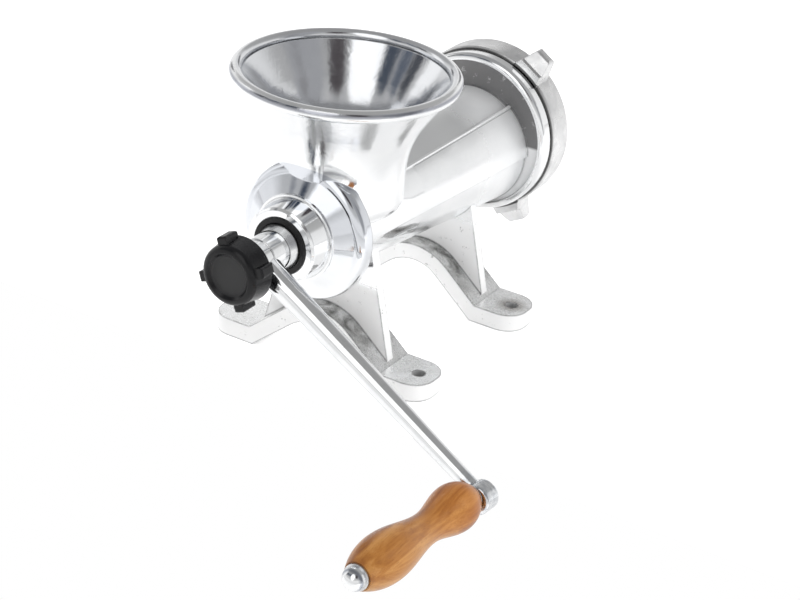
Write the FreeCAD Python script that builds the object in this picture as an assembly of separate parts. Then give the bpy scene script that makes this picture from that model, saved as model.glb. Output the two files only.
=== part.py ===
import FreeCAD
import Part
import math
import os

Vec = FreeCAD.Vector

# Hand crank meat grinder, in millimetres. +Y runs along the barrel from the crank to the outlet, +Z is up
# and +X is to the right seen from the crank. The origin is the middle of the four bolt holes, on the bench.

# Feet and legs
axis_height = 111.0          # screw axis above the bench
bolt_spacing_x = 148.0       # bolt holes across the barrel
bolt_spacing_y = 130.0       # bolt holes along the barrel
bolt_hole_radius = 4.5       # for an M8 bolt
foot_reach = 13.5            # from a bolt hole to the tip of its foot
foot_thickness = 13.0
foot_corner_radius = 16.0
leg_width = 38.0             # along the barrel
strap_thickness = 12.0
strap_slope = 40.0           # degrees, straight part of the arched strap
crease_inset = 20.5          # from a bolt hole to the crease where the strap rises
crown_radius = 42.0          # top of the arched strap
web_thickness = 8.0
web_half_top = 27.5          # half width of the web at the screw axis
web_half_bottom = 51.5       # half width of the web at the top of the feet

# Barrel
rear_wall_y = -92.0          # inner face of the rear wall
barrel_length = 217.5        # from the rear wall to the floor of the knife chamber
barrel_radius_rear = 33.5
barrel_radius_front = 45.0
barrel_drop = 9.0            # the barrel's underside falls towards the outlet
bore_radius_rear = 28.5
bore_radius_front = 32.5
band_height = 2.2            # raised side bands
band_low_angle = -8.0        # degrees from horizontal
band_high_angle = 44.5
band_ridge_radius = 1.2      # ridge along the upper edge of a band

# Rear cap and hub
cap_radius = 48.3
cap_width = 14.0
cap_wall = 16.0              # from the rear wall's inner face to the cap's rim face
cap_edge_round = 7.0
cap_back_round = 3.0
cap_face_rise = 7.0          # the cap's face swells towards the hub
hub_step_radius = 30.0       # low step round the hub's root
hub_step_length = 2.0
hub_root_radius = 28.3
hub_radius = 26.0
hub_length = 18.0
hub_chamfer = 1.6

# Hopper
hopper_offset = 27.0         # from the rear wall to the hopper's axis
hopper_wall = 4.0
throat_radius = 44.3         # outside
throat_round = 11.0          # rounding where the throat closes on the barrel
throat_start = 18.0          # height of the straight throat above the screw axis
flare_start = 34.0           # height where the flare begins above the screw axis
flare_radius = 71.0
flare_angle = 35.0           # degrees from vertical at the rim
rim_height = 100.0           # middle of the rolled rim above the screw axis
rim_bead_radius = 4.3
apron_low = 25.0             # sloped inner apron over the rear wall
apron_high = 52.0

# Outlet flange, collar and knife chamber
flange_radius = 60.0
flange_width = 8.5
flange_round = 3.8
flange_rim_width = 4.8       # raised rim on the flange's rear face
flange_rim_rise = 2.0
chamber_wall = 6.5           # floor of the knife chamber
chamber_radius = 49.3
collar_radius = 56.0
collar_length = 22.0
collar_chamfer = 1.5

# Fits
run_fit = 0.05               # radial, turning parts
seat_fit = 0.05              # radial, seated parts
slide_fit = 0.3              # radial, parts that come off
flight_gap = 0.6             # flight to bore
face_gap = 0.1               # between running faces

# Bush, thrust washer and feed screw
journal_radius = 15.6
journal_proud = 1.0          # straight journal outside the bush, before its taper
bush_wall = 4.2
bush_proud = 1.0
bush_chamfer = 0.8
thrust_washer_radius = 24.0
thrust_washer_thickness = 2.0
core_radius_rear = 19.0
core_radius_front = 16.0
flight_pitch = 40.0
flight_thickness = 6.0
screw_setback = 1.5          # screw end behind the chamber floor
journal_out = 6.5            # journal length outside the hub bush
tongue_radius = 9.5          # flatted end that carries the crank
tongue_flats = 13.0
stud_tail_radius = 8.0
stud_tail_length = 22.0

# Knife, hole plate and key
stud_square = 20.0
stud_pin_radius = 8.0
knife_hub_radius = 18.0
knife_hub_thickness = 13.0
knife_radius = 46.5
blade_depth = 11.0
blade_face_width = 15.0
blade_back_width = 6.0
blade_back_shift = 3.0
plate_radius = 49.0
plate_thickness = 9.0
plate_hole_radius = 4.0
plate_hole_pitch = 11.0
plate_first_ring = 17.0
plate_rim = 8.0
key_radius = 3.0
key_reach = 3.5              # how far the key stands into the plate's notch

# Ring nut
ring_radius = 62.0
ring_lip = 4.0
ring_mouth_radius = 43.0
ring_chamfer = 2.0
lug_count = 3
lug_first_angle = 57.0       # degrees above +X
lug_tip_radius = 77.0
lug_half_base = 12.0
lug_half_tip = 6.5
lug_length = 17.0
lug_round = 3.0
lug_step_rise = 5.0          # low front step of a lug, above the ring
lug_step_length = 3.5
lug_slope_length = 5.0       # sloped face between the step and the tip

# Crank
crank_angle = 27.1           # degrees below +X at rest
crank_lean = 5.3             # the arm leans away from the barrel
grip_lean = 3.2              # the grip leans back towards the screw axis
crank_length = 207.2         # from the screw axis to the grip axis, along the arm
eye_radius = 13.8            # rear half of the eye
eye_front_radius = 13.0
eye_length = 32.5
eye_round = 1.0
arm_offset = -1.25           # from the middle of the eye to the middle of the arm
root_radius = 9.8            # swollen root of the arm
root_reach = 32.0            # where the root runs out, from the screw axis
arm_root_radius = 8.4
arm_end_radius = 5.2
boss_radius = 10.0
boss_shift = 4.0             # boss middle past the grip's axis, along the arm
boss_back = 5.5              # boss length behind the arm's middle
boss_front = 8.0             # boss length on the grip's side

# Knob and its washer
crank_washer_radius = 13.0
crank_washer_thickness = 1.6
knob_radius = 20.6           # at the front
knob_back_radius = 22.3
knob_lug_angle = 20.0        # degrees above +X
knob_depth = 17.4
knob_edge_round = 4.5
knob_dish_radius = 15.8
knob_dish_depth = 3.0
knob_lug_count = 4
knob_lug_width = 7.0
knob_lug_radius = 25.6
knob_lug_length = 13.0
knob_lug_setback = 0.8       # lugs in front of the knob's back
knob_lug_round = 1.5
knob_stud_radius = 5.0
knob_stud_engaged = 12.0     # thread length in the journal
knob_stud_buried = 11.0      # length moulded into the knob

# Grip
grip_washer_thickness = 1.5
grip_washer_radius = 8.5
spindle_radius = 4.5
grip_face_radius = 9.5
grip_bulb_radius = 15.7
grip_bulb_at = 17.0          # from the grip's arm end
grip_neck_radius = 10.7
grip_neck_at = 43.0
grip_belly_radius = 15.4
grip_belly_at = 81.0
grip_end_radius = 9.4
grip_length = 118.5
end_nut_radius = 7.5
end_nut_rim = 3.0
end_nut_dome = 5.5

# Places worked out from the sizes above
leg_y = bolt_spacing_y / 2
bolt_x = bolt_spacing_x / 2
foot_tip_x = bolt_x + foot_reach
crease_x = bolt_x - crease_inset
chamber_floor_y = rear_wall_y + barrel_length
flange_back_y = chamber_floor_y - chamber_wall
flange_front_y = flange_back_y + flange_width
collar_end_y = flange_front_y + collar_length
cap_face_y = rear_wall_y - cap_wall
cap_back_y = cap_face_y + cap_width
hub_front_y = cap_face_y - cap_face_rise - hub_length
bush_front_y = hub_front_y - bush_proud
hopper_y = rear_wall_y + hopper_offset
screw_start_y = rear_wall_y + thrust_washer_thickness + face_gap
screw_end_y = chamber_floor_y - screw_setback
eye_back_y = bush_front_y - journal_out
eye_front_y = eye_back_y - eye_length
arm_y = (eye_back_y + eye_front_y) / 2 + arm_offset
plate_back_y = collar_end_y + slide_fit - plate_thickness
plate_front_y = plate_back_y + plate_thickness
knife_face_y = plate_back_y - face_gap
ring_start_y = flange_front_y + 4 * slide_fit
ring_end_y = plate_front_y + ring_lip
washer_front_y = eye_front_y - crank_washer_thickness
knob_back_y = washer_front_y
knob_front_y = knob_back_y - knob_depth
up = Vec(0, 0, 1)
along = Vec(0, 1, 0)


def on_axis(y):
    return Vec(0, y, axis_height)


def rod(radius, y0, y1):
    """Cylinder on the screw axis from y0 to y1."""
    return Part.makeCylinder(radius, y1 - y0, on_axis(y0), along)


def tube(outer, inner, y0, y1):
    return rod(outer, y0, y1).cut(rod(inner, y0 - 1, y1 + 1))


def box(x0, x1, y0, y1, z0, z1):
    return Part.makeBox(x1 - x0, y1 - y0, z1 - z0, Vec(x0, y0, z0))


def outline(place, start, steps):
    """Closed face from a start point and steps; a step is a point, or a pair (middle, end) for an arc."""
    edges = []
    last = start
    for step in steps:
        if isinstance(step[0], tuple):
            middle, end = step
            edges.append(Part.Arc(place(last), place(middle), place(end)).toShape())
        else:
            end = step
            edges.append(Part.LineSegment(place(last), place(end)).toShape())
        last = end
    if last != start:
        edges.append(Part.LineSegment(place(last), place(start)).toShape())
    return Part.Face(Part.Wire(edges))


def round_corner(center, radius, start, end):
    """Arc step (middle, end) round a centre, between two angles in degrees."""
    points = []
    for angle in ((start + end) / 2, end):
        a = math.radians(angle)
        points.append((center[0] + radius * math.cos(a), center[1] + radius * math.sin(a)))
    return tuple(points)


def turned(start, steps):
    """Solid turned about the screw axis from (radius, y) points."""
    face = outline(lambda p: Vec(p[0], p[1], axis_height), start, steps)
    return face.revolve(on_axis(0), along, 360)


def turned_upright(start, steps):
    """Solid turned about the hopper's upright axis from (radius, z) points."""
    face = outline(lambda p: Vec(p[0], hopper_y, p[1]), start, steps)
    return face.revolve(Vec(0, hopper_y, 0), up, 360)


def across(start, steps, middle_y, width):
    """Plate outlined in X and Z, centred on middle_y and this wide along Y."""
    face = outline(lambda p: Vec(p[0], middle_y - width / 2, p[1]), start, steps)
    return face.extrude(Vec(0, width, 0))


def spun(shape, degrees):
    """Copy turned about the screw axis; positive lifts +X towards +Z."""
    copy = shape.copy()
    copy.rotate(on_axis(0), along, -degrees)
    return copy


def mirrored(shape):
    return shape.mirror(Vec(0, 0, 0), Vec(1, 0, 0))


# Body casting
def barrel_outside():
    start = on_axis(cap_back_y - cap_width / 2)
    end = on_axis(flange_back_y + flange_width / 2) - up * barrel_drop
    run = end - start
    barrel = Part.makeCone(barrel_radius_rear, barrel_radius_front, run.Length, start, run)
    band_cone = Part.makeCone(barrel_radius_rear + band_height, barrel_radius_front + band_height,
                              run.Length, start, run)
    reach = 2 * barrel_radius_front
    sector = []
    for angle in (band_low_angle, band_high_angle):
        a = math.radians(angle)
        sector.append((reach * math.cos(a), axis_height + reach * math.sin(a)))
    wedge = across((0, axis_height), sector, (start.y + end.y) / 2, abs(run.y) + 2 * cap_width)
    band = band_cone.common(wedge)
    ridge_start = start + band_edge(barrel_radius_rear + band_height, 0)
    ridge_run = end + band_edge(barrel_radius_front + band_height, barrel_drop) - ridge_start
    ridge = Part.makeCylinder(band_ridge_radius, ridge_run.Length, ridge_start, ridge_run)
    return [barrel, band, mirrored(band), ridge, mirrored(ridge)]


def band_edge(radius, drop):
    """From the barrel's middle to a band's upper edge, with that middle dropped below the screw axis."""
    a = math.radians(band_high_angle)
    below = drop * math.sin(a)
    reach = math.sqrt(below ** 2 + radius ** 2 - drop ** 2) - below
    return Vec(reach * math.cos(a), 0, reach * math.sin(a) + drop)


def rear_cap():
    rim_face = cap_radius - cap_edge_round
    return turned(
        (0, cap_back_y),
        [(cap_radius - cap_back_round, cap_back_y),
         round_corner((cap_radius - cap_back_round, cap_back_y - cap_back_round), cap_back_round, 90, 0),
         (cap_radius, cap_face_y + cap_edge_round),
         round_corner((rim_face, cap_face_y + cap_edge_round), cap_edge_round, 0, -90),
         (hub_step_radius, cap_face_y - cap_face_rise),
         (hub_step_radius, cap_face_y - cap_face_rise - hub_step_length),
         (hub_root_radius, cap_face_y - cap_face_rise - hub_step_length),
         (hub_radius, hub_front_y + hub_chamfer),
         (hub_radius - hub_chamfer, hub_front_y),
         (0, hub_front_y)])


def outlet_collar():
    rim_radius = flange_radius - flange_rim_width
    rim_y = flange_back_y - flange_rim_rise
    return turned(
        (0, flange_back_y),
        [(rim_radius, flange_back_y),
         (rim_radius, rim_y),
         (flange_radius - flange_round, rim_y),
         round_corner((flange_radius - flange_round, rim_y + flange_round), flange_round, -90, 0),
         (flange_radius, flange_front_y),
         (collar_radius, flange_front_y),
         (collar_radius, collar_end_y - collar_chamfer),
         (collar_radius - collar_chamfer, collar_end_y),
         (0, collar_end_y)])


def hopper_wall_steps(radius, corner, floor, top):
    """Throat, flare and cone of the hopper at one side of its wall, from the floor up to a height."""
    center = (throat_radius + flare_radius, axis_height + flare_start)
    bend = center[0] - radius
    a = math.radians(flare_angle)
    flare_top = (center[0] - bend * math.cos(a), center[1] + bend * math.sin(a))
    rim = (flare_top[0] + (top - flare_top[1]) * math.tan(a), top)
    throat = axis_height + throat_start
    return [(radius - corner, floor),
            round_corner((radius - corner, throat), corner, -90, 0),
            (radius, center[1]),
            round_corner(center, bend, 180, 180 - flare_angle),
            rim]


def hopper_outside():
    rim_z = axis_height + rim_height
    floor = axis_height + throat_start - throat_round
    steps = hopper_wall_steps(throat_radius, throat_round, floor, rim_z)
    return turned_upright((0, floor), steps + [(0, rim_z)])


def rim_bead():
    rim_z = axis_height + rim_height
    rim = hopper_wall_steps(throat_radius, throat_round, axis_height, rim_z)[-1]
    return Part.makeTorus(rim[0] - rim_bead_radius / 2, rim_bead_radius, Vec(0, hopper_y, rim_z), up)


def hopper_inside():
    top = axis_height + rim_height + 2 * rim_bead_radius
    corner = throat_round - hopper_wall
    floor = axis_height + throat_start - corner
    steps = hopper_wall_steps(throat_radius - hopper_wall, corner, floor, top)
    space = turned_upright((0, floor), steps + [(0, top)])
    back = hopper_y - throat_radius - hopper_wall
    apron = outline(lambda p: Vec(-throat_radius, p[0], p[1]),
                    (back, 0),
                    [(rear_wall_y, 0),
                     (rear_wall_y, axis_height + apron_low),
                     (hopper_y - throat_radius + hopper_wall, axis_height + apron_high),
                     (back, axis_height + apron_high)])
    return space.cut(apron.extrude(Vec(2 * throat_radius, 0, 0)))


def leg(middle_y):
    slope = math.radians(strap_slope)
    rise = 1 / math.cos(slope) - 1
    crown_top = foot_thickness + crease_x * math.tan(slope) - crown_radius * rise
    crown_center = (0, crown_top - crown_radius)

    def arch(radius):
        return round_corner(crown_center, radius, 90 - strap_slope, 90 + strap_slope)

    def arch_start(radius):
        return (radius * math.sin(slope), crown_center[1] + radius * math.cos(slope))

    inner = crown_radius - strap_thickness
    inner_start = arch_start(inner)
    inner_foot = inner_start[0] + inner_start[1] / math.tan(slope)
    strap = across((foot_tip_x, 0),
                   [(foot_tip_x, foot_thickness), (crease_x, foot_thickness), arch_start(crown_radius),
                    arch(crown_radius), (-crease_x, foot_thickness), (-foot_tip_x, foot_thickness),
                    (-foot_tip_x, 0)], middle_y, leg_width)
    ground = box(-foot_tip_x, foot_tip_x, middle_y - leg_width / 2, middle_y + leg_width / 2, 0, axis_height)
    corners = []
    for edge in ground.Edges:
        if edge.BoundBox.ZLength > axis_height / 2:
            corners.append(edge)
    strap = strap.common(ground.makeFillet(foot_corner_radius, corners))
    web = across((web_half_bottom, foot_thickness),
                 [(web_half_top, axis_height), (-web_half_top, axis_height),
                  (-web_half_bottom, foot_thickness)], middle_y, web_thickness)
    gap = across((inner_foot, 0),
                 [inner_start, arch(inner), (-inner_foot, 0)], middle_y, 2 * leg_width)
    return strap.fuse(web).cut(gap)


def bolt_holes():
    holes = []
    for x in (-bolt_x, bolt_x):
        for y in (-leg_y, leg_y):
            bottom = Vec(x, y, -foot_thickness / 2)
            holes.append(Part.makeCylinder(bolt_hole_radius, 2 * foot_thickness, bottom))
    return holes


def key_hole():
    middle = on_axis((plate_back_y + plate_front_y) / 2)
    return Part.makeCylinder(key_radius + seat_fit, collar_radius, middle, -up)


def body_casting():
    barrel, *bands = barrel_outside()
    outside = barrel
    for solid in [rear_cap(), outlet_collar(), hopper_outside(), leg(-leg_y), leg(leg_y)] + bands:
        outside = outside.fuse(solid)
    bore = Part.makeCone(bore_radius_rear, bore_radius_front, barrel_length, on_axis(rear_wall_y), along)
    chamber = rod(chamber_radius, chamber_floor_y, collar_end_y + collar_length)
    bearing = rod(journal_radius + run_fit + bush_wall + seat_fit, hub_front_y - hub_length, rear_wall_y + 1)
    casting = outside
    for hollow in [bore, chamber, bearing, hopper_inside(), key_hole()] + bolt_holes():
        casting = casting.cut(hollow)
    return casting.fuse(rim_bead()).removeSplitter()


# Bearing pieces
def hub_bush():
    inner = journal_radius + run_fit
    bush = tube(inner + bush_wall, inner, bush_front_y, rear_wall_y)
    mouth = Part.makeCone(inner + bush_chamfer, inner, bush_chamfer, on_axis(bush_front_y), along)
    return bush.cut(mouth)


def thrust_washer():
    return tube(thrust_washer_radius, journal_radius + 2 * run_fit, rear_wall_y,
                rear_wall_y + thrust_washer_thickness)


# Feed screw and what it drives
def crank_turn(shape):
    """Copy turned to the crank's rest angle."""
    return spun(shape, -crank_angle)


def drive_tongue(y0, y1, clearance):
    round_bar = rod(tongue_radius + clearance, y0, y1)
    half = tongue_flats / 2 + clearance
    flats = box(-2 * tongue_radius, 2 * tongue_radius, y0, y1, axis_height - half, axis_height + half)
    return round_bar.common(flats)


def feed_screw():
    length = screw_end_y - screw_start_y
    core = Part.makeCone(core_radius_rear, core_radius_front, length, on_axis(screw_start_y), along)
    reach = bore_radius_front + flight_thickness
    inner = core_radius_front - flight_thickness
    helix = Part.makeHelix(flight_pitch, length - flight_thickness, inner, 0, True)
    half = flight_thickness / 2
    corners = [Vec(inner, 0, -half), Vec(reach, 0, -half), Vec(reach, 0, half), Vec(inner, 0, half)]
    section = Part.makePolygon(corners + [corners[0]])
    flight = Part.Wire(helix.Edges).makePipeShell([section], True, True)
    flight.rotate(Vec(0, 0, 0), Vec(1, 0, 0), -90)
    flight.translate(on_axis(screw_start_y + half))
    envelope = Part.makeCone(bore_radius_rear - flight_gap, bore_radius_front - flight_gap,
                             length, on_axis(screw_start_y), along)
    flight = flight.common(envelope)
    taper_y = bush_front_y - journal_proud
    journal = rod(journal_radius, taper_y, screw_start_y + flight_thickness)
    taper = Part.makeCone(eye_radius, journal_radius, taper_y - eye_back_y, on_axis(eye_back_y), along)
    tongue = crank_turn(drive_tongue(eye_front_y + face_gap, eye_back_y + 1, 0))
    tapped = rod(knob_stud_radius + seat_fit, eye_front_y - 1, eye_front_y + knob_stud_engaged)
    socket = rod(stud_tail_radius + seat_fit, screw_end_y - stud_tail_length, screw_end_y + 1)
    screw = core.multiFuse([flight, journal, taper, tongue])
    return screw.cut([tapped, socket])


def square_bar(side, y0, y1):
    return box(-side / 2, side / 2, y0, y1, axis_height - side / 2, axis_height + side / 2)


def drive_stud():
    tail = rod(stud_tail_radius, screw_end_y - stud_tail_length + face_gap, screw_end_y)
    square = square_bar(stud_square, screw_end_y, knife_face_y - face_gap)
    pin = rod(stud_pin_radius, knife_face_y - 1, plate_front_y)
    return tail.multiFuse([square, pin])


def cross_knife():
    hub = rod(knife_hub_radius, knife_face_y - knife_hub_thickness, knife_face_y)
    blades = []
    for quarter in range(4):
        back_y = knife_face_y - blade_depth
        section = Part.makePolygon([
            Vec(0, knife_face_y, axis_height),
            Vec(0, knife_face_y, axis_height + blade_face_width),
            Vec(0, back_y, axis_height + blade_back_shift + blade_back_width),
            Vec(0, back_y, axis_height + blade_back_shift),
            Vec(0, knife_face_y, axis_height)])
        blade = Part.Face(section).extrude(Vec(knife_radius, 0, 0))
        blades.append(spun(blade, 90 * quarter))
    sweep = rod(knife_radius, knife_face_y - knife_hub_thickness, knife_face_y)
    knife = hub.multiFuse(blades).common(sweep)
    hole = square_bar(stud_square + 2 * seat_fit, knife_face_y - 2 * knife_hub_thickness, plate_front_y)
    return knife.cut(hole)


def hole_plate():
    holes = [Part.Wire(Part.makeCircle(stud_pin_radius + run_fit, on_axis(plate_back_y), along))]
    ring = plate_first_ring
    while ring <= plate_radius - plate_rim - plate_hole_radius:
        count = int(2 * math.pi * ring / plate_hole_pitch)
        for k in range(count):
            a = 2 * math.pi * k / count
            middle = on_axis(plate_back_y) + Vec(ring * math.cos(a), 0, ring * math.sin(a))
            holes.append(Part.Wire(Part.makeCircle(plate_hole_radius, middle, along)))
        ring += plate_hole_pitch
    disc = rod(plate_radius, plate_back_y, plate_front_y)
    cutters = []
    for wire in holes:
        cutters.append(Part.Face(wire).extrude(Vec(0, plate_thickness, 0)))
    half = key_radius + slide_fit
    notch_top = axis_height - plate_radius + key_reach + slide_fit
    notch = box(-half, half, plate_back_y - 1, plate_front_y + 1, 0, notch_top)
    return disc.cut(cutters + [notch])


def plate_key():
    middle = on_axis((plate_back_y + plate_front_y) / 2)
    start = plate_radius - key_reach
    return Part.makeCylinder(key_radius, collar_radius - collar_chamfer - start, middle - up * start, -up)


def ring_nut():
    skirt = collar_radius + slide_fit
    edge = 2 * ring_chamfer
    ring = turned(
        (skirt, ring_start_y),
        [(ring_radius - ring_chamfer, ring_start_y),
         (ring_radius, ring_start_y + ring_chamfer),
         (ring_radius, ring_end_y - edge),
         round_corner((ring_radius - edge, ring_end_y - edge), edge, 0, 90),
         (ring_mouth_radius + ring_chamfer, ring_end_y),
         (ring_mouth_radius, ring_end_y - ring_chamfer),
         (ring_mouth_radius, plate_front_y),
         (skirt, plate_front_y)])
    lugs = []
    for k in range(lug_count):
        lugs.append(spun(ring_lug((skirt + ring_radius) / 2), lug_first_angle + 360 * k / lug_count))
    return ring.multiFuse(lugs)


def ring_lug(root):
    """Lug along +X: a wing that tapers to its tip, with a low step and a slope at its front."""
    start = ring_start_y
    end = start + lug_length
    wing = outline(lambda p: Vec(p[0], start, axis_height + p[1]), (root, -lug_half_base),
                   [(lug_tip_radius, -lug_half_tip), (lug_tip_radius, lug_half_tip), (root, lug_half_base)])
    step_radius = ring_radius + lug_step_rise
    slope_y = start + lug_step_length
    side = outline(lambda p: Vec(p[0], p[1], axis_height - lug_half_base), (root, start),
                   [(step_radius, start), (step_radius, slope_y),
                    (lug_tip_radius, slope_y + lug_slope_length), (lug_tip_radius, end), (root, end)])
    lug = wing.extrude(Vec(0, lug_length, 0)).common(side.extrude(up * 2 * lug_half_base))
    tip_edges = []
    for edge in lug.Edges:
        if edge.BoundBox.XMin > lug_tip_radius - lug_round:
            tip_edges.append(edge)
    return lug.makeFillet(lug_round, tip_edges)


# Crank: modelled along +X with the grip along -Y, then leaned and turned to its rest angle
def crank_leaned(shape):
    copy = shape.copy()
    copy.rotate(on_axis(arm_y), up, -crank_lean)
    return crank_turn(copy)


def grip_point(distance):
    """Point on the grip's axis before leaning, this far out from the arm's middle."""
    return Vec(crank_length, arm_y - distance, axis_height)


def grip_leaned(shape):
    copy = shape.copy()
    copy.rotate(grip_point(0), up, crank_lean - grip_lean)
    return crank_leaned(copy)


def grip_rod(radius, start, end):
    return Part.makeCylinder(radius, end - start, grip_point(start), -along)


def rounded_rims(shape, radius):
    """Round the two end edges of a straight rod that lies along Y."""
    rims = []
    for edge in shape.Edges:
        if edge.BoundBox.YLength < face_gap:
            rims.append(edge)
    return shape.makeFillet(radius, rims)


def crank_arm():
    eye = rounded_rims(rod(eye_radius, arm_y, eye_back_y), eye_round)
    eye = eye.fuse(rounded_rims(rod(eye_front_radius, eye_front_y, arm_y + eye_round), eye_round))
    start = on_axis(arm_y) + Vec(eye_radius / 2, 0, 0)
    root = Part.makeCone(root_radius, arm_root_radius, root_reach - eye_radius / 2, start, Vec(1, 0, 0))
    bar = Part.makeCone(arm_root_radius, arm_end_radius, crank_length - root_reach,
                        on_axis(arm_y) + Vec(root_reach, 0, 0), Vec(1, 0, 0))
    boss = rounded_rims(grip_rod(boss_radius, -boss_back, boss_front), boss_radius / 5)
    boss.translate(Vec(boss_shift, 0, 0))
    arm = eye.fuse(crank_leaned(root.fuse(bar)))
    arm = arm.fuse(grip_leaned(boss))
    drive = crank_turn(drive_tongue(eye_front_y - 1, eye_back_y + 1, seat_fit))
    spindle_hole = grip_leaned(grip_rod(spindle_radius + seat_fit, -2 * boss_back, 2 * boss_front))
    return arm.cut(drive).cut(spindle_hole)


def crank_washer():
    return tube(crank_washer_radius, knob_stud_radius + slide_fit, washer_front_y, eye_front_y)


def clamp_knob():
    dish = knob_front_y + knob_dish_depth
    edge = (knob_radius - knob_edge_round, knob_front_y + knob_edge_round)
    body = turned(
        (0, knob_back_y),
        [(knob_back_radius, knob_back_y),
         (knob_radius, edge[1]),
         round_corner(edge, knob_edge_round, 0, -90),
         (knob_dish_radius, knob_front_y),
         (knob_dish_radius - knob_dish_depth, dish),
         (0, dish)])
    lugs = []
    lug_back_y = knob_back_y - knob_lug_setback
    for k in range(knob_lug_count):
        lug = box((knob_dish_radius + knob_radius) / 2, knob_lug_radius,
                  lug_back_y - knob_lug_length, lug_back_y,
                  axis_height - knob_lug_width / 2, axis_height + knob_lug_width / 2)
        tip_edges = []
        for edge in lug.Edges:
            if edge.BoundBox.XMin > knob_lug_radius - 1:
                tip_edges.append(edge)
        lug = lug.makeFillet(knob_lug_round, tip_edges)
        lugs.append(spun(lug, knob_lug_angle + 360 * k / knob_lug_count))
    knob = body.multiFuse(lugs)
    return knob.cut(rod(knob_stud_radius + seat_fit, knob_back_y - knob_stud_buried, knob_back_y + 1))


def knob_stud():
    return rod(knob_stud_radius, knob_back_y - knob_stud_buried, eye_front_y + knob_stud_engaged - face_gap)


# Grip pieces, outwards from the arm's boss
grip_start = boss_front + grip_washer_thickness
grip_end = grip_start + grip_length
end_washer_end = grip_end + grip_washer_thickness


def grip_washer(start):
    washer = grip_rod(grip_washer_radius, start, start + grip_washer_thickness)
    hole = grip_rod(spindle_radius + seat_fit, start - 1, start + 2 * grip_washer_thickness)
    return grip_leaned(washer.cut(hole))


def wood_grip():
    stations = [(0, grip_face_radius), (grip_bulb_at, grip_bulb_radius), (grip_neck_at, grip_neck_radius),
                (grip_belly_at, grip_belly_radius), (grip_length, grip_end_radius)]
    points = []
    free_length = grip_length - 2 * face_gap
    for at, radius in stations:
        distance = grip_start + face_gap + at * free_length / grip_length
        points.append(grip_point(distance) + Vec(radius, 0, 0))
    curve = Part.BSplineCurve()
    curve.interpolate(points)
    bore = spindle_radius + run_fit
    inner_start = Vec(points[0].x - grip_face_radius + bore, points[0].y, axis_height)
    inner_end = Vec(points[-1].x - grip_end_radius + bore, points[-1].y, axis_height)
    edges = [curve.toShape(),
             Part.LineSegment(points[-1], inner_end).toShape(),
             Part.LineSegment(inner_end, inner_start).toShape(),
             Part.LineSegment(inner_start, points[0]).toShape()]
    grip = Part.Face(Part.Wire(edges)).revolve(grip_point(0), along, 360)
    return grip_leaned(grip)


def grip_spindle():
    return grip_leaned(grip_rod(spindle_radius, -boss_back, end_washer_end + end_nut_rim))


def grip_end_nut():
    start = end_washer_end
    dome_at = start + end_nut_rim
    ball = (end_nut_radius ** 2 + end_nut_dome ** 2) / (2 * end_nut_dome)
    center = (0, dome_at + end_nut_dome - ball)
    edge = math.degrees(math.atan2(dome_at - center[1], end_nut_radius))
    bore = spindle_radius + seat_fit
    face = outline(lambda p: grip_point(p[1]) + Vec(p[0], 0, 0), (bore, start),
                   [(end_nut_radius, start), (end_nut_radius, dome_at), round_corner(center, ball, edge, 90),
                    (0, dome_at), (bore, dome_at)])
    return grip_leaned(face.revolve(grip_point(0), along, 360))


pieces = {
    "body_casting": body_casting,
    "hub_bush": hub_bush,
    "thrust_washer": thrust_washer,
    "feed_screw": feed_screw,
    "drive_stud": drive_stud,
    "cross_knife": cross_knife,
    "hole_plate": hole_plate,
    "plate_key": plate_key,
    "ring_nut": ring_nut,
    "crank_arm": crank_arm,
    "crank_washer": crank_washer,
    "clamp_knob": clamp_knob,
    "knob_stud": knob_stud,
    "grip_inner_washer": lambda: grip_washer(boss_front),
    "wood_grip": wood_grip,
    "grip_spindle": grip_spindle,
    "grip_end_washer": lambda: grip_washer(grip_end),
    "grip_end_nut": grip_end_nut,
}

os.makedirs("parts", exist_ok=True)
for name, make in pieces.items():
    shape = make()
    print(name, shape.isValid(), len(shape.Solids), round(shape.Volume, 1))
    shape.exportStep("parts/" + name + ".step")
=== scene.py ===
import math

import bpy
from mathutils import Matrix, Vector

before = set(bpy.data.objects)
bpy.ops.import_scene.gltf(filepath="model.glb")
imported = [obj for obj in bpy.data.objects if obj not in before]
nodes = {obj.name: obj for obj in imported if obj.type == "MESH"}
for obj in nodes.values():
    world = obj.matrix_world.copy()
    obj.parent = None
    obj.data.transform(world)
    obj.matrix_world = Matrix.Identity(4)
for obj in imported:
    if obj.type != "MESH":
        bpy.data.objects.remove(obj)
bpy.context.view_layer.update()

scene = bpy.context.scene
axisHeight = 0.111  # the screw's axis above the bench
print("frame loaded:", len(nodes), "pieces")


# node helpers
def addNode(tree, kind, values=None, **settings):
    node = tree.nodes.new(kind)
    for name, value in settings.items():
        setattr(node, name, value)
    for name, value in (values or {}).items():
        node.inputs[name].default_value = value
    return node


def mathNode(tree, operation, first, second=None, clamp=False):
    node = addNode(tree, "ShaderNodeMath", operation=operation, use_clamp=clamp)
    for slot, value in enumerate((first, second)):
        if value is None:
            continue
        if isinstance(value, (int, float)):
            node.inputs[slot].default_value = value
        else:
            tree.links.new(value, node.inputs[slot])
    return node.outputs[0]


def times(tree, first, *others):
    for other in others:
        first = mathNode(tree, "MULTIPLY", first, other)
    return first


def largest(tree, first, *others):
    for other in others:
        first = mathNode(tree, "MAXIMUM", first, other)
    return first


def total(tree, first, *others):
    for other in others:
        first = mathNode(tree, "ADD", first, other)
    return first


def diagonal(tree, first, second):
    return mathNode(tree, "SQRT", total(tree, times(tree, first, first), times(tree, second, second)))


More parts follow.
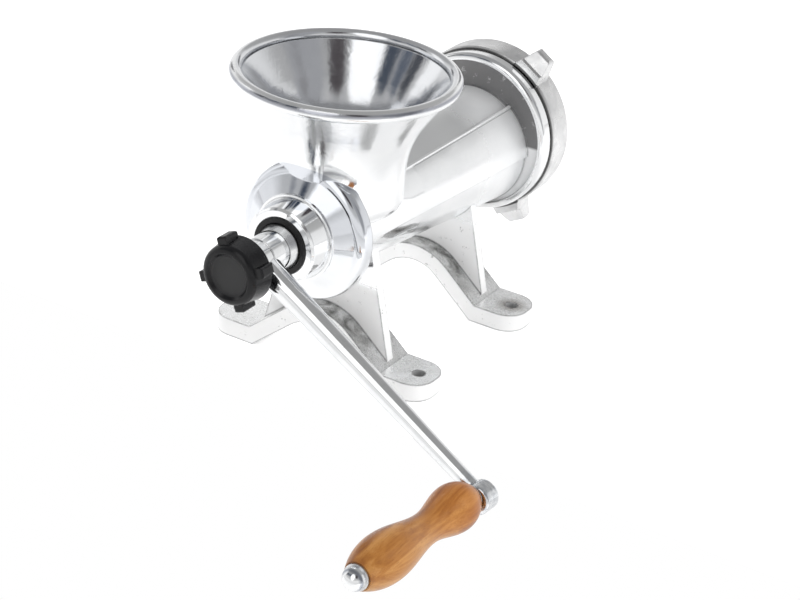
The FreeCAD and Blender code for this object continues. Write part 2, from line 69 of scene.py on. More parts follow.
def rampNode(tree, value, stops):
    node = addNode(tree, "ShaderNodeValToRGB")
    while len(node.color_ramp.elements) < len(stops):
        node.color_ramp.elements.new(0.5)
    for element, (place, shade) in zip(node.color_ramp.elements, stops):
        element.position = place
        element.color = (*shade, 1)
    tree.links.new(value, node.inputs["Fac"])
    return node.outputs["Color"]


def rangeNode(tree, value, low, high, fromLow=0.0, fromHigh=1.0):
    span = {"From Min": fromLow, "From Max": fromHigh, "To Min": low, "To Max": high}
    node = addNode(tree, "ShaderNodeMapRange", span)
    tree.links.new(value, node.inputs["Value"])
    return node.outputs["Result"]


def above(tree, value, low, high):
    return rangeNode(tree, value, 0.0, 1.0, low, high)


def below(tree, value, low, high):
    return rangeNode(tree, value, 1.0, 0.0, low, high)


def between(tree, value, low, high, soft):
    rise = above(tree, value, low - soft, low + soft)
    return times(tree, rise, below(tree, value, high - soft, high + soft))


def mixColor(tree, factor, first, second, blend="MIX"):
    node = addNode(tree, "ShaderNodeMix", data_type="RGBA", blend_type=blend)
    for name, value in (("Factor", factor), ("A", first), ("B", second)):
        socket = [s for s in node.inputs if s.name == name and s.enabled][0]
        if isinstance(value, tuple):
            socket.default_value = (*value, 1)
        else:
            tree.links.new(value, socket)
    return [s for s in node.outputs if s.enabled][0]


def mixValue(tree, factor, first, second):
    node = addNode(tree, "ShaderNodeMix", data_type="FLOAT")
    for slot, value in ((0, factor), (2, first), (3, second)):
        if isinstance(value, (int, float)):
            node.inputs[slot].default_value = value
        else:
            tree.links.new(value, node.inputs[slot])
    return node.outputs[0]


def newGroup(name, inputs, output):
    group = bpy.data.node_groups.new(name, "ShaderNodeTree")
    for label, value in inputs:
        socket = group.interface.new_socket(label, in_out="INPUT", socket_type="NodeSocketFloat")
        socket.default_value = value
    group.interface.new_socket(output, in_out="OUTPUT", socket_type="NodeSocketFloat")
    return group, addNode(group, "NodeGroupInput"), addNode(group, "NodeGroupOutput")


def placeGroup(tree, group, values):
    return addNode(tree, "ShaderNodeGroup", values, node_tree=group).outputs[0]


def newMaterial(name, values):
    material = bpy.data.materials.new(name)
    material.use_nodes = True
    tree = material.node_tree
    shader = tree.nodes["Principled BSDF"]
    for socket, value in values.items():
        shader.inputs[socket].default_value = value
    return material, tree, shader


def addBump(tree, shader, height, strength, distance, edge=0.0006):
    bump = addNode(tree, "ShaderNodeBump", {"Strength": strength, "Distance": distance})
    soft = addNode(tree, "ShaderNodeBevel", {"Radius": edge}, samples=6)
    tree.links.new(height, bump.inputs["Height"])
    tree.links.new(soft.outputs["Normal"], bump.inputs["Normal"])
    tree.links.new(bump.outputs["Normal"], shader.inputs["Normal"])


def placeParts(tree):
    place = addNode(tree, "ShaderNodeTexCoord")
    split = addNode(tree, "ShaderNodeSeparateXYZ")
    tree.links.new(place.outputs["Object"], split.inputs[0])
    return place.outputs["Object"], split.outputs["X"], split.outputs["Y"], split.outputs["Z"]


def axisRadius(tree, x, z):
    return diagonal(tree, x, mathNode(tree, "SUBTRACT", z, axisHeight))


def stretchedNoise(tree, place, scale, values):
    stretch = addNode(tree, "ShaderNodeMapping", {"Scale": scale})
    tree.links.new(place, stretch.inputs["Vector"])
    noise = addNode(tree, "ShaderNodeTexNoise", {"Scale": 1.0, **values})
    tree.links.new(stretch.outputs[0], noise.inputs["Vector"])
    return noise.outputs["Fac"]


# shared effects
def makeHandlingGroup():
    group, inside, out = newGroup("handlingMarks", [("Scale", 30.0), ("Spread", 0.5)], "Mask")
    place = addNode(group, "ShaderNodeTexCoord")
    broad = addNode(group, "ShaderNodeTexNoise", {"Detail": 6.0, "Roughness": 0.62, "Distortion": 0.6})
    group.links.new(place.outputs["Object"], broad.inputs["Vector"])
    group.links.new(inside.outputs["Scale"], broad.inputs["Scale"])
    span = addNode(group, "ShaderNodeMapRange", {"To Min": 0.0, "To Max": 1.0})
    group.links.new(broad.outputs["Fac"], span.inputs["Value"])
    for operation, end in (("SUBTRACT", "From Min"), ("ADD", "From Max")):
        group.links.new(mathNode(group, operation, 0.5, inside.outputs["Spread"]), span.inputs[end])
    group.links.new(span.outputs["Result"], out.inputs["Mask"])
    return group


def makeWaveGroup():
    inputs = [("Broad", 14.0), ("Fine", 260.0), ("Fine share", 0.1)]
    group, inside, out = newGroup("polishWave", inputs, "Height")
    place = addNode(group, "ShaderNodeTexCoord")
    heights = []
    for label, detail in (("Broad", 2.0), ("Fine", 3.0)):
        noise = addNode(group, "ShaderNodeTexNoise", {"Detail": detail, "Roughness": 0.5})
        group.links.new(place.outputs["Object"], noise.inputs["Vector"])
        group.links.new(inside.outputs[label], noise.inputs["Scale"])
        heights.append(noise.outputs["Fac"])
    fine = times(group, heights[1], inside.outputs["Fine share"])
    group.links.new(total(group, heights[0], fine), out.inputs["Height"])
    return group


def makeLatheGroup():
    group, inside, out = newGroup("latheLines", [("Density", 900.0)], "Height")
    place, x, y, z = placeParts(group)
    join = addNode(group, "ShaderNodeCombineXYZ")
    for axis, length in (("X", axisRadius(group, x, z)), ("Y", y)):
        group.links.new(times(group, length, inside.outputs["Density"]), join.inputs[axis])
    lines = addNode(group, "ShaderNodeTexNoise", {"Scale": 1.0, "Detail": 4.0, "Roughness": 0.7})
    group.links.new(join.outputs[0], lines.inputs["Vector"])
    group.links.new(lines.outputs["Fac"], out.inputs["Height"])
    return group


def makeThreadGroup():
    group, inside, out = newGroup("threadTurns", [("Pitch", 0.004)], "Height")
    place, x, y, z = placeParts(group)
    lift = mathNode(group, "SUBTRACT", z, axisHeight)
    turn = mathNode(group, "DIVIDE", mathNode(group, "ARCTAN2", lift, x), 2 * math.pi)
    phase = total(group, mathNode(group, "DIVIDE", y, inside.outputs["Pitch"]), turn)
    group.links.new(mathNode(group, "PINGPONG", phase, 0.5), out.inputs["Height"])
    return group


handlingGroup = makeHandlingGroup()
waveGroup = makeWaveGroup()
latheGroup = makeLatheGroup()
threadGroup = makeThreadGroup()
print("shared effects ready")


# finishes
def openEdges(tree, width):
    soft = addNode(tree, "ShaderNodeBevel", {"Radius": width}, samples=6)
    flat = addNode(tree, "ShaderNodeNewGeometry")
    lean = addNode(tree, "ShaderNodeVectorMath", operation="DOT_PRODUCT")
    tree.links.new(soft.outputs["Normal"], lean.inputs[0])
    tree.links.new(flat.outputs["Normal"], lean.inputs[1])
    return below(tree, lean.outputs["Value"], 0.86, 0.99)  # 1 is a flat face


# painted shade: darker where ambient occlusion finds a crease
def creases(tree, reach):
    shelter = addNode(tree, "ShaderNodeAmbientOcclusion", {"Distance": reach}, samples=8)
    return below(tree, shelter.outputs["AO"], 0.45, 0.72)  # 1 is an open face


casting = {
    "place": {  # fades from one value to the other, or two ends and a softness
        "legHeight": (0.062, 0.07), "legStart": (-0.1, -0.094), "topLean": (0.4, 0.7),
        "strap": (0.024, 0.05, 0.006), "leftSide": (-0.045, -0.035), "crankSide": (-0.02, -0.01),
        "outletSide": (0.0, 0.01), "bolt": (0.074, 0.065), "stain": (0.005, 0.013), "bore": (0.0047, 0.0052),
        "barrel": (-0.015, 0.1165, 0.0008), "barrelTop": (0.157, 0.164), "dullAndLitEnd": (0.06, 0.095),
        "ridge": (0.722, 0.744, 0.005),  # radians up from the screw's axis
        "recess": (0.1186, 0.1194, 0.0002), "recessLean": (-0.9, -0.7), "recessReach": (0.0551, 0.0555),
        "shade": (0.1105, 0.1125), "collar": (0.1285, 0.149, 0.0005), "collarReach": (0.0555, 0.0559),
        "hopperStart": (0.164, 0.172), "hopperMiddle": -0.065, "insideLean": (-0.006, 0.0),
        "rimAbove": 0.209, "rimHeight": 0.211, "rimBead": 0.0043, "rimFlank": (0.05, 0.66, 0.16),
        "capBack": (-0.0966, -0.0936, 0.0003), "capBackReach": (0.044, 0.0487, 0.0003),
        "capBackLean": (0.05, 0.3), "capSide": (-0.1055, -0.0936, 0.0003),
        "capSideReach": (0.0468, 0.0487, 0.0003), "capCone": (-0.1155, -0.1045, 0.0003),
        "capConeReach": (0.0302, 0.0487, 0.0003), "capReflectionStart": (0.075, 0.125)},
    # painted shade and reflections among these colours: the dark strap patches, the upper flange recess, the
    # dark lines, the rim's flank, the hopper's inside and the cap's upper part
    "shade": {
        "light": (0.93, 0.935, 0.94), "dull": (0.85, 0.86, 0.87), "web": (0.96, 0.96, 0.96),
        "top": (0.86, 0.865, 0.86), "blotch": (0.2, 0.2, 0.195), "recess": (0.23, 0.228, 0.23),
        "speck": (0.5, 0.5, 0.5), "line": (0.16, 0.16, 0.165), "rim": (0.42, 0.43, 0.47),
        "stain": (0.24, 0.215, 0.19), "inside": (0.84, 0.845, 0.86), "capReflection": (0.8, 0.815, 0.85)},
    # several of these weigh painted shade, reflections and light on the casting
    "share": {
        "strapReflection": (0.25, 1.0), "ragged": (0.45, 0.9), "specks": (0.98, 1.06), "pits": (0.5, 0.6),
        "pitted": 0.6, "stain": 0.7, "paintedShade": 0.75, "bore": 0.55, "capLine": 0.7, "ridgeShadow": 0.45,
        "mattAndLit": 0.8, "litLeftFoot": 0.75, "endLight": 0.4},
    "rough": {
        "polished": (0.04, 0.1), "hopper": (0.09, 0.14), "barrel": (0.16, 0.3), "end": (0.34, 0.46),
        "legs": (0.42, 0.6), "tops": (0.16, 0.3), "recess": (0.35, 0.5)},
    "relief": {
        "streaks": 0.12, "grain": 0.3, "turns": 3.0, "dapple": 0.16, "pitch": 0.004, "strength": 0.22,
        "depth": 0.0022, "edge": 0.0009, "lineWidth": 0.002, "creaseReach": 0.003},
}


def castingZones(tree):
    at = casting["place"]
    place, x, y, z = placeParts(tree)
    face = addNode(tree, "ShaderNodeSeparateXYZ")
    tree.links.new(addNode(tree, "ShaderNodeNewGeometry").outputs["Normal"], face.inputs[0])
    radius = axisRadius(tree, x, z)
    depth = mathNode(tree, "SUBTRACT", y, at["hopperMiddle"])
    toBolt = [mathNode(tree, "SUBTRACT", mathNode(tree, "ABSOLUTE", side), offset)
              for side, offset in zip((x, y), at["bolt"])]
    fromBolt = diagonal(tree, *toBolt)
    corners = nodes["body_casting"].data.vertices
    rimRadius = max(corner.co.x for corner in corners if corner.co.z > at["rimAbove"]) - at["rimBead"]

    zones = {"legs": times(tree, below(tree, z, *at["legHeight"]), above(tree, y, *at["legStart"]))}
    zones["tops"] = times(tree, zones["legs"], above(tree, face.outputs["Z"], *at["topLean"]))
    zones["strap"] = times(tree, zones["tops"], between(tree, z, *at["strap"]))
    leftFoot = times(tree, below(tree, x, *at["leftSide"]), below(tree, y, *at["crankSide"]))
    # painted light: the left foot's tops are made lighter
    zones["litLeftFoot"] = times(tree, zones["tops"], leftFoot)
    outletFeet = times(tree, zones["tops"], above(tree, y, *at["outletSide"]))
    zones["stain"] = times(tree, outletFeet, below(tree, fromBolt, *at["stain"]))
    # painted shade inside the bolt holes of the feet
    zones["bore"] = times(tree, zones["legs"], below(tree, fromBolt, *at["bore"]))

    along = times(tree, between(tree, y, *at["barrel"]), below(tree, z, *at["barrelTop"]))
    zones["barrel"] = mathNode(tree, "SUBTRACT", along, zones["legs"], clamp=True)
    zones["end"] = times(tree, zones["barrel"], above(tree, y, *at["dullAndLitEnd"]))  # rougher next to the flange, and made matt and lighter there as painted light
    lift = mathNode(tree, "SUBTRACT", z, axisHeight)
    climb = mathNode(tree, "ARCTAN2", lift, mathNode(tree, "ABSOLUTE", x))
    zones["ridgeShadow"] = times(tree, zones["barrel"], between(tree, climb, *at["ridge"]))  # painted shadow line under the band's ridge
    rearFace = below(tree, face.outputs["Y"], *at["recessLean"])
    recess = times(tree, between(tree, y, *at["recess"]), rearFace)
    zones["recess"] = times(tree, recess, below(tree, radius, *at["recessReach"]))
    # painted shade: the flange recess is dark only above this height
    zones["shade"] = times(tree, zones["recess"], above(tree, z, *at["shade"]))
    zones["collar"] = times(tree, between(tree, y, *at["collar"]), above(tree, radius, *at["collarReach"]))

    zones["hopper"] = above(tree, z, *at["hopperStart"])
    fromRim = mathNode(tree, "SUBTRACT", diagonal(tree, x, depth), rimRadius)
    lean = mathNode(tree, "ARCTAN2", mathNode(tree, "SUBTRACT", z, at["rimHeight"]), fromRim)
    zones["rim"] = between(tree, lean, *at["rimFlank"])  # outward flank of the rolled rim, painted darker as a reflection
    outward = total(tree, times(tree, face.outputs["X"], x), times(tree, face.outputs["Y"], depth))
    # painted shade: the hopper's inside faces are tinted darker
    zones["inside"] = times(tree, zones["hopper"], below(tree, outward, *at["insideLean"]))

    capBack = times(tree, between(tree, y, *at["capBack"]), between(tree, radius, *at["capBackReach"]))
    # painted shade: a dark line on the cap's rear face
    zones["capLine"] = times(tree, capBack, above(tree, face.outputs["Y"], *at["capBackLean"]))
    capSide = times(tree, between(tree, y, *at["capSide"]), between(tree, radius, *at["capSideReach"]))
    capCone = times(tree, between(tree, y, *at["capCone"]), between(tree, radius, *at["capConeReach"]))
    upperCap = above(tree, z, *at["capReflectionStart"])  # painted reflection: tinted darker above, left bright below
    zones["capReflection"] = times(tree, largest(tree, capSide, capCone), upperCap)
    return place, zones


def polishedCasting():
    tint, share, relief = casting["shade"], casting["share"], casting["relief"]
    material, tree, shader = newMaterial("polishedCasting", {"Metallic": 1.0})
    place, zones = castingZones(tree)
    marks = placeGroup(tree, handlingGroup, {"Scale": 26.0, "Spread": 0.22})
    blotches = placeGroup(tree, handlingGroup, {"Scale": 75.0, "Spread": 0.12})
    mottle = placeGroup(tree, handlingGroup, {"Scale": 120.0, "Spread": 0.3})
    wave = placeGroup(tree, waveGroup, {"Broad": 15.0, "Fine": 240.0, "Fine share": 0.03})
    skin = placeGroup(tree, waveGroup, {"Broad": 170.0, "Fine": 900.0, "Fine share": 0.6})
    thread = placeGroup(tree, threadGroup, {"Pitch": relief["pitch"]})
    brushed = stretchedNoise(tree, place, (150.0, 5.0, 150.0), {"Detail": 4.0, "Roughness": 0.6})

    shade = mixColor(tree, marks, tint["light"], tint["dull"])
    shade = mixColor(tree, zones["legs"], shade, tint["web"])
    shade = mixColor(tree, zones["tops"], shade, mixColor(tree, blotches, tint["light"], tint["top"]))
    # painted reflection: dark patches on the strap tops of the legs
    strapReflection = times(tree, zones["strap"], rangeNode(tree, blotches, *share["strapReflection"]))
    shade = mixColor(tree, strapReflection, shade, tint["blotch"])
    pits = times(tree, below(tree, skin, *share["pits"]), zones["legs"], share["pitted"])
    shade = mixColor(tree, pits, shade, tint["blotch"])
    specks = above(tree, skin, *share["specks"])
    # painted shade on the upper flange recess; the specks are the casting's own
    shade = mixColor(tree, zones["shade"], shade, mixColor(tree, specks, tint["recess"], tint["speck"]))
    shade = mixColor(tree, times(tree, zones["stain"], share["stain"]), shade, tint["stain"])
    # painted reflection: darker bluish grey on the rim's outward flank
    shade = mixColor(tree, zones["rim"], shade, tint["rim"])
    # painted shade inside the hopper and painted reflection on the cap's upper part
    for zone in ("inside", "capReflection"):
        shade = mixColor(tree, zones[zone], shade, tint[zone], "MULTIPLY")
    ragged = rangeNode(tree, blotches, *share["ragged"])
    # painted shade: dark outlines on the legs' edges, creases darkened by ambient occlusion, and dark lines
    # in the bolt bores, on the cap's rear face and under the band's ridge
    dark = times(tree, openEdges(tree, relief["lineWidth"]), zones["legs"], ragged)
    dark = largest(tree, dark, times(tree, creases(tree, relief["creaseReach"]), share["paintedShade"]))
    for zone in ("bore", "capLine", "ridgeShadow"):
        dark = largest(tree, dark, times(tree, zones[zone], share[zone]))
    tree.links.new(mixColor(tree, dark, shade, tint["line"]), shader.inputs["Base Color"])

    # painted light: the lower flange recess, the left foot's tops and the barrel next to the flange are made
    # matt and lighter; the legs' sides are matt as-cast
    matt = mathNode(tree, "SUBTRACT", zones["legs"], zones["tops"], clamp=True)
    lowRecess = mathNode(tree, "SUBTRACT", zones["recess"], zones["shade"], clamp=True)
    mattAndLit = times(tree, largest(tree, matt, lowRecess), share["mattAndLit"])
    mattAndLit = largest(tree, mattAndLit, times(tree, zones["litLeftFoot"], share["litLeftFoot"]))
    mattAndLit = total(tree, mattAndLit, times(tree, zones["end"], share["endLight"]))
    tree.links.new(mathNode(tree, "SUBTRACT", 1.0, mattAndLit, clamp=True), shader.inputs["Metallic"])

    rough = rangeNode(tree, marks, *casting["rough"]["polished"])
    sources = {"hopper": marks, "barrel": brushed, "end": brushed, "legs": skin, "tops": skin, "recess": skin}
    for zone, source in sources.items():
        rough = mixValue(tree, zones[zone], rough, rangeNode(tree, source, *casting["rough"][zone]))
    tree.links.new(rough, shader.inputs["Roughness"])
    tree.links.new(zones["hopper"], shader.inputs["Anisotropic"])
    upright = addNode(tree, "ShaderNodeCombineXYZ", {"Z": 1.0})  # spun polish, smeared along the cone
    tree.links.new(upright.outputs[0], shader.inputs["Tangent"])

    streaks = times(tree, brushed, zones["barrel"], relief["streaks"])
    grain = times(tree, skin, largest(tree, zones["legs"], zones["recess"]), relief["grain"])
    turns = times(tree, thread, zones["collar"], relief["turns"])
    dapple = times(tree, mottle, zones["hopper"], relief["dapple"])
    height = total(tree, wave, streaks, grain, turns, dapple)
    addBump(tree, shader, height, relief["strength"], relief["depth"], relief["edge"])
    return material


def satinRing():
    finish = {"light": (0.8, 0.8, 0.8), "dull": (0.64, 0.64, 0.645), "rough": (0.22, 0.4),
              "gap": (0.12, 0.12, 0.12), "gapDepth": (0.0006, 0.0014), "gapReach": (0.0622, 0.0628),
              "creaseReach": 0.002, "creaseShare": 0.6}
    material, tree, shader = newMaterial("satinRing", {"Metallic": 1.0})
    marks = placeGroup(tree, handlingGroup, {"Scale": 60.0, "Spread": 0.18})
    skin = placeGroup(tree, waveGroup, {"Broad": 150.0, "Fine": 1100.0, "Fine share": 0.5})
    place, x, y, z = placeParts(tree)
    ringStart = min(corner.co.y for corner in nodes["ring_nut"].data.vertices)
    gap = below(tree, y, *[ringStart + depth for depth in finish["gapDepth"]])  # painted shadow of the flange on the ring's rear end
    gap = times(tree, gap, below(tree, axisRadius(tree, x, z), *finish["gapReach"]))
    # painted shade: the flange's shadow and creases darkened by ambient occlusion
    paintedShade = largest(tree, gap, times(tree, creases(tree, finish["creaseReach"]), finish["creaseShare"]))
    shade = mixColor(tree, marks, finish["light"], finish["dull"])
    tree.links.new(mixColor(tree, paintedShade, shade, finish["gap"]), shader.inputs["Base Color"])
    tree.links.new(rangeNode(tree, marks, *finish["rough"]), shader.inputs["Roughness"])
    addBump(tree, shader, skin, 0.2, 0.0006, 0.0009)
    return material


steels = {
    "turnedScrew": {"light": (0.8, 0.805, 0.81), "dull": (0.66, 0.665, 0.67), "rough": (0.12, 0.26),
                    "density": 700.0},
    "groundKnife": {"light": (0.68, 0.685, 0.69), "dull": (0.52, 0.525, 0.53), "rough": (0.2, 0.36),
                    "density": 1600.0},
    "zincSteel": {"light": (0.74, 0.745, 0.75), "dull": (0.6, 0.6, 0.605), "rough": (0.2, 0.36),
                  "density": 1100.0},
}
steels["threadedSteel"] = {**steels["zincSteel"], "pitch": 0.0015, "turns": 4.0}


def turnedSteel(name):
    finish = steels[name]
    material, tree, shader = newMaterial(name, {"Metallic": 1.0})
    marks = placeGroup(tree, handlingGroup, {"Scale": 70.0, "Spread": 0.3})
    height = placeGroup(tree, latheGroup, {"Density": finish["density"]})
    if "pitch" in finish:
        turns = placeGroup(tree, threadGroup, {"Pitch": finish["pitch"]})
        height = total(tree, times(tree, turns, finish["turns"]), height)
    tree.links.new(mixColor(tree, marks, finish["light"], finish["dull"]), shader.inputs["Base Color"])
    tree.links.new(rangeNode(tree, marks, *finish["rough"]), shader.inputs["Roughness"])
    addBump(tree, shader, height, 0.3, 0.00015)
    return material


def brightPlate(name, dome=False):
    finish = {"light": (0.88, 0.885, 0.89), "dull": (0.75, 0.76, 0.77), "rough": (0.06, 0.15),
              "flank": (0.38, 0.4, 0.44), "flankPlace": (-0.3118, -0.3096, 0.0007),
              "pitted": (0.55, 0.57, 0.6), "bossStart": (0.17, 0.176), "pitDepth": 0.5}
    material, tree, shader = newMaterial(name, {"Metallic": 1.0})
    marks = placeGroup(tree, handlingGroup, {"Scale": 48.0, "Spread": 0.25})
    wave = placeGroup(tree, waveGroup, {"Broad": 40.0, "Fine": 500.0, "Fine share": 0.05})
    shade = mixColor(tree, marks, finish["light"], finish["dull"])
    place, x, y, z = placeParts(tree)
    if dome:
        # painted reflection: a dark ring on the dome's flank
        shade = mixColor(tree, between(tree, y, *finish["flankPlace"]), shade, finish["flank"])
    else:
        pits = placeGroup(tree, handlingGroup, {"Scale": 260.0, "Spread": 0.16})
        pitted = times(tree, pits, above(tree, x, *finish["bossStart"]))
        shade = mixColor(tree, pitted, shade, finish["pitted"])
        wave = total(tree, wave, times(tree, pitted, finish["pitDepth"]))
    tree.links.new(shade, shader.inputs["Base Color"])
    tree.links.new(rangeNode(tree, marks, *finish["rough"]), shader.inputs["Roughness"])
    addBump(tree, shader, wave, 0.12, 0.0008)
    return material


knobBlack = {"shade": (0.004, 0.004, 0.005), "worn": (0.009, 0.009, 0.01), "rough": (0.16, 0.3),
             "grain": 0.05, "sheen": 0.28, "dish": (0.034, 0.034, 0.035), "dishRough": 0.5,
             "dishReach": (0.0146, 0.0156), "dishStart": (-0.1905, -0.1895)}
bushBlack = {"shade": (0.005, 0.005, 0.006), "worn": (0.014, 0.014, 0.014), "rough": (0.34, 0.5),
             "grain": 0.1, "sheen": 0.35}


def blackMoulding(name, finish):
    material, tree, shader = newMaterial(name, {"Specular IOR Level": finish["sheen"]})
    marks = placeGroup(tree, handlingGroup, {"Scale": 90.0, "Spread": 0.25})
    skin = placeGroup(tree, waveGroup, {"Broad": 120.0, "Fine": 1500.0, "Fine share": 0.6})
    shade = mixColor(tree, marks, finish["shade"], finish["worn"])
    rough = rangeNode(tree, marks, *finish["rough"])
    if "dish" in finish:
        place, x, y, z = placeParts(tree)
        dish = below(tree, axisRadius(tree, x, z), *finish["dishReach"])
        dish = times(tree, dish, above(tree, y, *finish["dishStart"]))
        shade = mixColor(tree, dish, shade, finish["dish"])
        rough = mixValue(tree, dish, rough, finish["dishRough"])
    tree.links.new(shade, shader.inputs["Base Color"])
    tree.links.new(rough, shader.inputs["Roughness"])
    addBump(tree, shader, skin, finish["grain"], 0.0004, 0.0008)
    return material


def varnishedBeech():
    finish = {"pale": (0.49, 0.235, 0.064), "mid": (0.36, 0.143, 0.027), "deep": (0.225, 0.074, 0.012),
              "fleck": (0.16, 0.052, 0.01), "fleckSpan": (0.56, 0.72), "fleckShare": 0.4,
              "bulb": (0.93, 0.79, 0.62), "bulbStart": (-0.25, -0.2), "rough": (0.3, 0.42)}
    varnish = {"Coat Weight": 0.3, "Coat Roughness": 0.15, "Specular IOR Level": 0.3}
    material, tree, shader = newMaterial("varnishedBeech", varnish)
    place, x, y, z = placeParts(tree)
    figure = {"Detail": 6.0, "Roughness": 0.62, "Distortion": 0.5}
    bands = stretchedNoise(tree, place, (130.0, 6.0, 130.0), figure)
    pores = stretchedNoise(tree, place, (2200.0, 110.0, 2200.0), {"Detail": 2.0, "Roughness": 0.5})
    grain = rampNode(tree, bands, [(0.32, finish["deep"]), (0.48, finish["mid"]), (0.66, finish["pale"])])
    bulb = above(tree, y, *finish["bulbStart"])  # redder toward the arm
    grain = mixColor(tree, bulb, grain, finish["bulb"], "MULTIPLY")
    fleck = rangeNode(tree, pores, 0.0, finish["fleckShare"], *finish["fleckSpan"])
    tree.links.new(mixColor(tree, fleck, grain, finish["fleck"]), shader.inputs["Base Color"])
    tree.links.new(rangeNode(tree, bands, *finish["rough"]), shader.inputs["Roughness"])
    addBump(tree, shader, fleck, 0.12, 0.0002)
    return material


plainSteel = turnedSteel("zincSteel")
toolSteel = turnedSteel("groundKnife")
finishOf = {
    "body_casting": polishedCasting(),
    "ring_nut": satinRing(),
    "crank_arm": brightPlate("brightPlate"),
    "grip_end_nut": brightPlate("domedPlate", dome=True),
    "clamp_knob": blackMoulding("halfGlossBlack", knobBlack),
    "hub_bush": blackMoulding("mattBlack", bushBlack),
    "wood_grip": varnishedBeech(),
    "feed_screw": turnedSteel("turnedScrew"),
    "cross_knife": toolSteel,
    "hole_plate": toolSteel,
    "knob_stud": turnedSteel("threadedSteel"),
}
for name, piece in nodes.items():
    piece.data.materials.clear()
    piece.data.materials.append(finishOf.get(name, plainSteel))
print("finishes assigned")


# studio: white floor that keeps a shadow, soft lamps, and a sky of cards for the metal to mirror
studio = {
    "floorSize": 6.0, "benchEdge": -0.122, "benchDrop": 0.3, "floorShade": (0.9, 0.9, 0.9), "floorGlow": 0.5,
    "mirrorGlow": 0.2, "ambient": 0.6, "cardSquash": 0.5, "skyBlend": (-0.3, 0.5),
    "frontSky": [(0.0, 0.97), (0.12, 0.97), (0.3, 0.62), (0.6, 0.52), (0.85, 0.36)],
    "backSky": [(0.0, 0.97), (0.38, 0.85), (0.47, 0.47), (0.66, 0.42), (0.88, 0.36)],
    "lampTarget": (0, -0.05, 0.1),
    "lamps": [  # name, place, size, watts
        ("keyLamp", (-1.3, -0.5, 1.4), 1.0, 20.0),
        ("sideLamp", (1.4, 0.6, 1.2), 0.9, 11.0),
        ("fillLamp", (1.1, -0.45, 0.16), 0.6, 4.5)],
    "cards": [  # name, compass, height, inner and outer spread in degrees, shade
        ("rightWall", -92, 36, 18, 26, (0.4, 0.405, 0.42)),
        ("softbox", -5, 44, 19, 23, (1.4, 1.4, 1.4)),
        ("lensShade", -47, 44, 9, 13, (0.07, 0.06, 0.065)),
        ("curtainNear", 29, 42, 7, 10, (0.045, 0.06, 0.09)),
        ("curtainMiddle", 48, 37, 5, 9, (0.1, 0.12, 0.16)),
        ("curtainFar", 63, 31, 5, 8, (0.05, 0.055, 0.07)),
        ("leftWindow", 86, 16, 9, 13, (1.15, 1.15, 1.15)),
        ("sideGap", -100, 30, 4, 8, (0.3, 0.3, 0.31)),
        ("leftStrip", 122, 12, 4, 6, (0.2, 0.2, 0.21)),
        ("backStrip", 165, 14, 4, 6, (0.2, 0.2, 0.21))],
}


def mirrorRays(tree):
    path = addNode(tree, "ShaderNodeLightPath")
    return path, largest(tree, path.outputs["Is Glossy Ray"], path.outputs["Is Transmission Ray"])


def makeFloor():
    size, edge, drop = studio["floorSize"] / 2, studio["benchEdge"], studio["benchDrop"]
    bench = [(-size, edge, 0), (size, edge, 0), (size, size, 0), (-size, size, 0)]
    lower = [(-size, -size, -drop), (size, -size, -drop), (size, edge, -drop), (-size, edge, -drop)]
    mesh = bpy.data.meshes.new("floor")  # the crank swings past the bench's edge
    mesh.from_pydata(bench + lower, [], [(0, 1, 2, 3), (4, 5, 6, 7)])
    floor = bpy.data.objects.new("floor", mesh)
    scene.collection.objects.link(floor)
    paint = {"Base Color": (*studio["floorShade"], 1), "Roughness": 0.9, "Specular IOR Level": 0.1,
             "Emission Color": (1, 1, 1, 1)}
    material, tree, shader = newMaterial("paleFloor", paint)
    path, mirror = mirrorRays(tree)
    seen = times(tree, path.outputs["Is Camera Ray"], studio["floorGlow"])
    glow = total(tree, seen, times(tree, mirror, studio["mirrorGlow"]))
    tree.links.new(glow, shader.inputs["Emission Strength"])
    floor.data.materials.append(material)


def addCard(tree, sky, direction, card):
    name, compass, height, inner, outer, shade = card
    turn, lift = math.radians(compass), math.radians(height)
    level = math.cos(lift)
    toward = (-math.sin(turn) * level, -math.cos(turn) * level, math.sin(lift) * studio["cardSquash"])
    facing = addNode(tree, "ShaderNodeVectorMath", operation="DOT_PRODUCT", label=name)
    facing.inputs[1].default_value = Vector(toward).normalized()
    tree.links.new(direction, facing.inputs[0])
    edges = [math.cos(math.radians(angle)) for angle in (outer, inner)]
    return mixColor(tree, above(tree, facing.outputs["Value"], *edges), sky, shade)


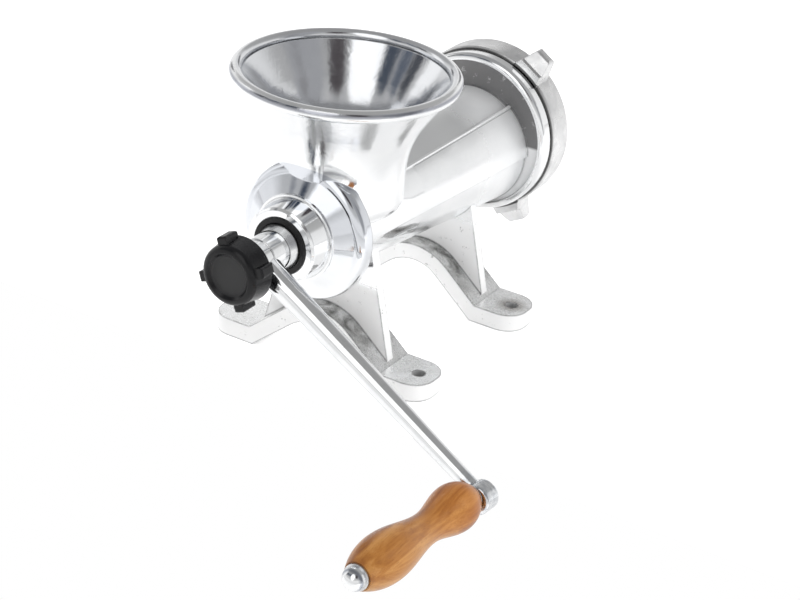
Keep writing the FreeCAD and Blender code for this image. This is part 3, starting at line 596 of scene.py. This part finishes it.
def makeWorld():
    world = bpy.data.worlds.new("studio")
    scene.world = world
    world.use_nodes = True
    tree = world.node_tree
    shader = tree.nodes["Background"]
    place = addNode(tree, "ShaderNodeTexCoord")
    split = addNode(tree, "ShaderNodeSeparateXYZ")
    tree.links.new(place.outputs["Generated"], split.inputs[0])
    skies = []
    for stops in (studio["frontSky"], studio["backSky"]):
        skies.append(rampNode(tree, split.outputs["Z"], [(rise, (level,) * 3) for rise, level in stops]))
    seen = mixColor(tree, above(tree, split.outputs["Y"], *studio["skyBlend"]), *skies)
    squash = addNode(tree, "ShaderNodeVectorMath", operation="MULTIPLY")
    squash.inputs[1].default_value = (1, 1, studio["cardSquash"])  # taller than wide cards
    upright = addNode(tree, "ShaderNodeVectorMath", operation="NORMALIZE")
    tree.links.new(place.outputs["Generated"], squash.inputs[0])
    tree.links.new(squash.outputs[0], upright.inputs[0])
    for card in studio["cards"]:
        seen = addCard(tree, seen, upright.outputs[0], card)
    path, mirror = mirrorRays(tree)
    shade = mixColor(tree, mirror, (studio["ambient"],) * 3, seen)
    shade = mixColor(tree, path.outputs["Is Camera Ray"], shade, (1, 1, 1))
    tree.links.new(shade, shader.inputs["Color"])
    shader.inputs["Strength"].default_value = 1.0


def makeLamps():
    for name, place, size, power in studio["lamps"]:
        lamp = bpy.data.lights.new(name, "AREA")
        lamp.shape = "DISK"
        lamp.size = size
        lamp.energy = power
        holder = bpy.data.objects.new(name, lamp)
        holder.location = place
        aim = Vector(studio["lampTarget"]) - Vector(place)
        holder.rotation_euler = aim.to_track_quat("-Z", "Y").to_euler()
        holder.visible_glossy = False  # the cards stand for the lamps in the metal
        scene.collection.objects.link(holder)


def makeCamera():
    view = {"place": (0.7143, -1.23597, 0.7521), "azimuth": 29.4, "elevation": 27.16, "roll": 4.93,
            "lens": 101.0, "sensor": 36.0}
    a, e, r = [math.radians(view[k]) for k in ("azimuth", "elevation", "roll")]
    back = Vector((math.sin(a) * math.cos(e), -math.cos(a) * math.cos(e), math.sin(e)))
    level = Vector((math.cos(a), math.sin(a), 0))
    lift = back.cross(level)
    right = level * math.cos(r) + lift * math.sin(r)
    up = lift * math.cos(r) - level * math.sin(r)
    data = bpy.data.cameras.new("photoCamera")
    data.lens = view["lens"]
    data.sensor_width = view["sensor"]
    data.sensor_fit = "HORIZONTAL"
    camera = bpy.data.objects.new("photoCamera", data)
    camera.matrix_world = Matrix.Translation(view["place"]) @ Matrix((right, up, back)).transposed().to_4x4()
    scene.collection.objects.link(camera)
    scene.camera = camera


makeFloor()
makeWorld()
makeLamps()
makeCamera()
scene.view_settings.view_transform = "Standard"
print("studio ready")
